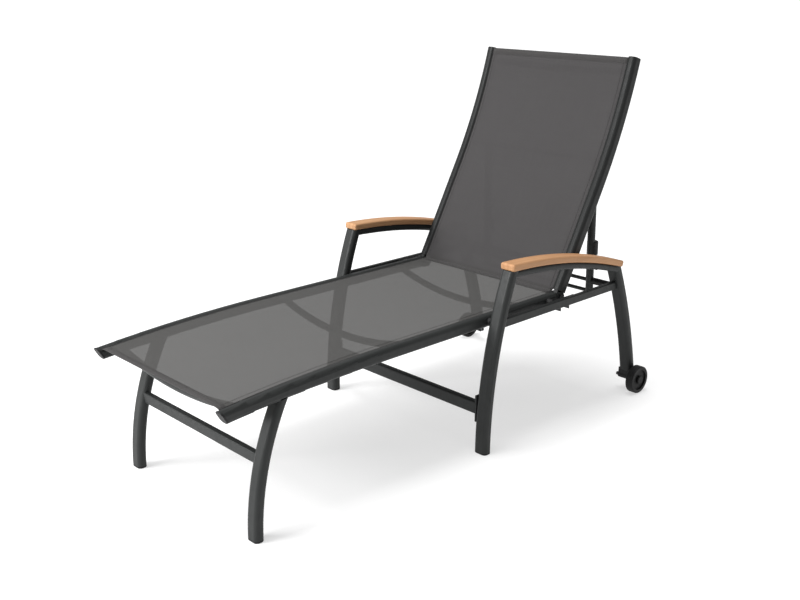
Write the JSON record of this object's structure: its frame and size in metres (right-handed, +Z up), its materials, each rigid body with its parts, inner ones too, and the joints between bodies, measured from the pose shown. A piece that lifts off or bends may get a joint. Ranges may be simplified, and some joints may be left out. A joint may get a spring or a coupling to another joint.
{
  "type": "reclining sun lounger",
  "caption": "Reclining sun lounger: tubular frame with a woven sling seat and hinged sling backrest on a swinging prop, arched wooden armrests, front legs and rear wheels.",
  "frame": {"origin": "on the floor under the middle plane, within 3 mm of midway between the foot-end caps and the backs of the wheels", "axes": "+X to the right armrest seen by someone lying in it with the feet towards -Y, +Y from the foot end to the head end, +Z up"},
  "size_m": [0.78, 1.5895, 1.0682],
  "materials": {
    "frame": "anthracite powder-coated aluminium tube, satin",
    "fitting": "dark powder-coated metal fitting",
    "sling": "grey woven mesh, slightly see-through",
    "teak": "oiled teak, fine grain along the slat",
    "plastic": "black moulded plastic, matt",
    "wheel": "black solid wheel, matt",
    "fastener": "dark coated steel"
  },
  "bodies": {
    "base": {"seat_rail_left": "frame", "seat_rail_right": "frame", "seat_end_caps": "plastic", "seat_sling": "sling", "foot_brace": "frame", "middle_brace": "frame", "rear_brace": "frame", "front_leg_left": "frame", "front_leg_right": "frame", "front_feet": "plastic", "front_crossbar": "frame", "armrest_left": "teak", "armrest_right": "teak", "arm_top_tube_left": "frame", "arm_top_tube_right": "frame", "arm_front_leg_left": "frame", "arm_front_leg_right": "frame", "rear_leg_left": "frame", "rear_leg_right": "frame", "side_rail_left": "frame", "side_rail_right": "frame", "arm_feet": "plastic", "armrest_screws": "fastener", "lower_crossbar": "frame", "crossbar_flanges": "frame", "flange_bolts": "fastener", "frame_spacers": "plastic", "frame_bolts": "fastener", "hinge_plate_left": "fitting", "hinge_plate_right": "fitting", "seat_hinge_fork_left": "fitting", "seat_hinge_fork_right": "fitting", "hinge_pins": "fastener", "prop_bushings": "plastic", "wheel_carrier_left": "plastic", "wheel_carrier_right": "plastic", "wheel_axles": "fastener", "wheel_spacers": "plastic"},
    "backrest": {"back_rail_left": "frame", "back_rail_right": "frame", "back_end_caps": "plastic", "back_sling": "sling", "lower_back_brace": "frame", "upper_back_brace": "frame", "back_hinge_tongue_left": "fitting", "back_hinge_tongue_right": "fitting"},
    "prop": {"prop_leg_left": "frame", "prop_leg_right": "frame", "prop_collars": "plastic", "prop_glides": "plastic", "prop_tie_rod": "frame", "prop_foot_rod": "frame", "prop_top_rod": "frame"},
    "wheel_left": {"wheel_left": "wheel", "hub_cap_left": "plastic"},
    "wheel_right": {"wheel_right": "wheel", "hub_cap_right": "plastic"}
  },
  "joints": [
    {"name": "backrest_recline", "type": "hinge", "parent": "base", "child": "backrest", "pos_m": [0, 0.428, 0.3765], "axis": [1, 0, 0], "range_deg": [-56, 0]},
    {"name": "prop_swing", "type": "hinge", "parent": "base", "child": "prop", "pos_m": [0, 0.678, 0.364], "axis": [1, 0, 0], "range_deg": [-82.8, 0]},
    {"name": "wheel_left_spin", "type": "hinge", "parent": "base", "child": "wheel_left", "pos_m": [-0.374, 0.7525, 0.045], "axis": [1, 0, 0], "continuous": true},
    {"name": "wheel_right_spin", "type": "hinge", "parent": "base", "child": "wheel_right", "pos_m": [0.374, 0.7525, 0.045], "axis": [1, 0, 0], "continuous": true}
  ],
  "couplings": [
    {"joint": "prop_swing", "follows": "backrest_recline", "ratio": 1.475}
  ]
}
